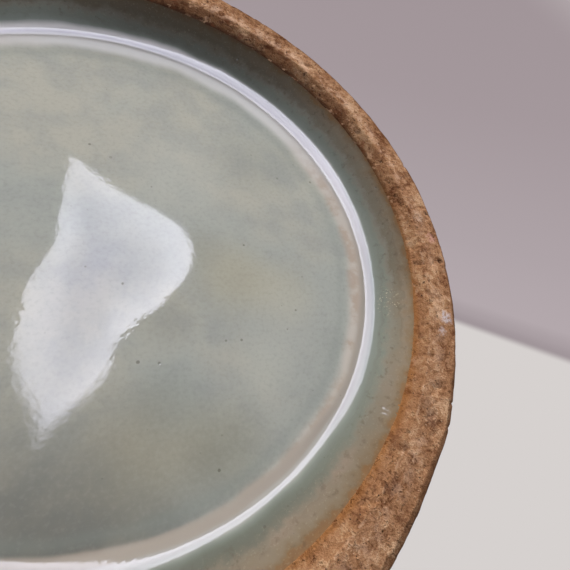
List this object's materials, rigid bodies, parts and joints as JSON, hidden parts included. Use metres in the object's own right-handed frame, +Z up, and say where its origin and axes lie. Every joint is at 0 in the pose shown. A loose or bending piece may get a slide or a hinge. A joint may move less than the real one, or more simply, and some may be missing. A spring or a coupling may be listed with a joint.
{
  "type": "celadon vase",
  "caption": "Tall stoneware vase with a spreading foot, swelling body and trumpet mouth, celadon glazed, standing on a bare foot ring round a glazed well.",
  "frame": {"origin": "centre of the circle that the foot stands on, at ground height", "axes": "+Z up the vase's axis from the foot to the mouth; X and Y lie in the ground plane, and the vase is the same all round"},
  "size_m": [0.2394, 0.2394, 0.5],
  "materials": {
    "biscuit": "bare stoneware burnt orange brown in the kiln, gritty, pitted, worn paler on the flat that it stands on",
    "stoneware": "pale grey fired clay, matt, with throwing rings",
    "luting_clay": "pale fired slip, matt, smeared by hand",
    "celadon": "thick glossy grey-green celadon glaze, softly mottled, with fine pinholes, blue-green where it pools"
  },
  "bodies": {
    "root": {"foot_ring": "biscuit", "base_disc": "stoneware", "base_luting": "luting_clay", "foot_luting": "luting_clay", "lower_body": "stoneware", "belly_luting": "luting_clay", "upper_body": "stoneware", "neck_luting": "luting_clay", "neck": "stoneware", "mouth_luting": "luting_clay", "mouth": "stoneware", "glaze_coat": "celadon", "base_glaze": "celadon"}
  },
  "joints": []
}
